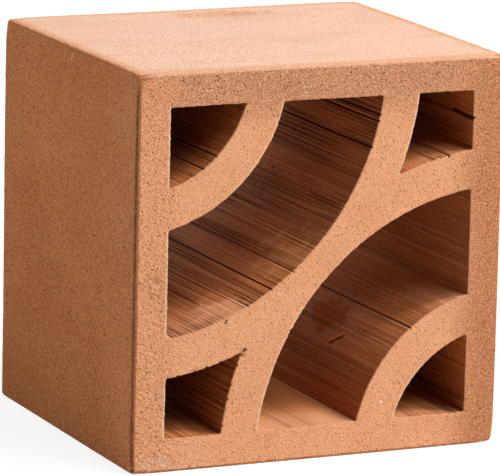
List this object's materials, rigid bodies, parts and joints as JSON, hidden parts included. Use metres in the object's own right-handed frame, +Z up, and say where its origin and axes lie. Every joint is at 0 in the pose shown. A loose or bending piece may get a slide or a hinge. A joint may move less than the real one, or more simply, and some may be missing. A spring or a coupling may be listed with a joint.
{
  "type": "terracotta breeze block",
  "caption": "Hollow terracotta screen block, extruded and wire-cut, with quarter-ring webs round two opposite corners and open cells that let air and light through a wall.",
  "frame": {"origin": "middle of the lower bed face, on the floor that the block stands on", "axes": "+Z up through the two bed faces; +Y along the cells, from the front cut face to the back one; +X to the right as seen from the front"},
  "size_m": [0.15, 0.13, 0.15],
  "materials": {
    "terracotta": "unglazed fired clay, matt and sandy"
  },
  "bodies": {
    "root": {"block": "terracotta"}
  },
  "joints": []
}
